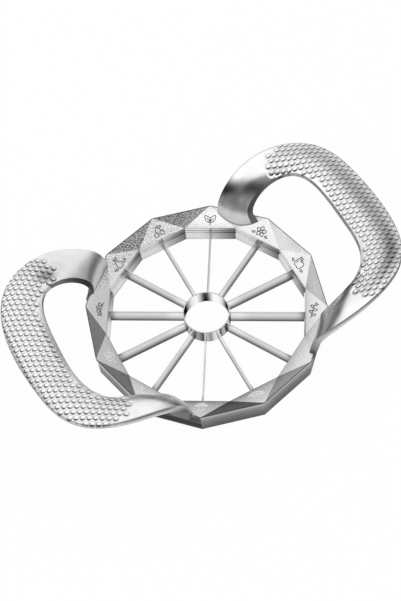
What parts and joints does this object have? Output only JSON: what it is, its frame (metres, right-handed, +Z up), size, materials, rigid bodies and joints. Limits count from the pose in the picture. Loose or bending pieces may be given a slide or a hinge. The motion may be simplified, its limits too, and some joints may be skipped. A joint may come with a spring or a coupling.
{
  "type": "apple slicer",
  "caption": "Rigid push-down apple slicer: a faceted cast ring with two raised ribbon loop handles, radial blades and a central corer tube.",
  "frame": {"origin": "on the ring's axis, at the level of the blades' lower edges", "axes": "+Z up along the ring's axis, +X towards the right handle's grip, +Y towards the right handle's far foot"},
  "size_m": [0.2002, 0.1656, 0.0489],
  "materials": {
    "cast_metal": "fine sand-cast silver with polished edges",
    "satin_cast_metal": "satin chrome-like silver, bumps on the grips",
    "clamp_metal": "satin silver",
    "tube_steel": "mirror polish",
    "blade_steel": "satin, ground lower edge",
    "screw_steel": "satin"
  },
  "bodies": {
    "root": {"upper_frame": "cast_metal", "clamp_ring": "clamp_metal", "left_handle": "satin_cast_metal", "right_handle": "satin_cast_metal", "corer_tube": "tube_steel", "blade_01": "blade_steel", "blade_02": "blade_steel", "blade_03": "blade_steel", "blade_04": "blade_steel", "blade_05": "blade_steel", "blade_06": "blade_steel", "blade_07": "blade_steel", "blade_08": "blade_steel", "blade_09": "blade_steel", "blade_10": "blade_steel", "blade_11": "blade_steel", "blade_12": "blade_steel", "screw_01": "screw_steel", "screw_02": "screw_steel", "screw_03": "screw_steel", "screw_04": "screw_steel", "screw_05": "screw_steel", "screw_06": "screw_steel"}
  },
  "joints": []
}
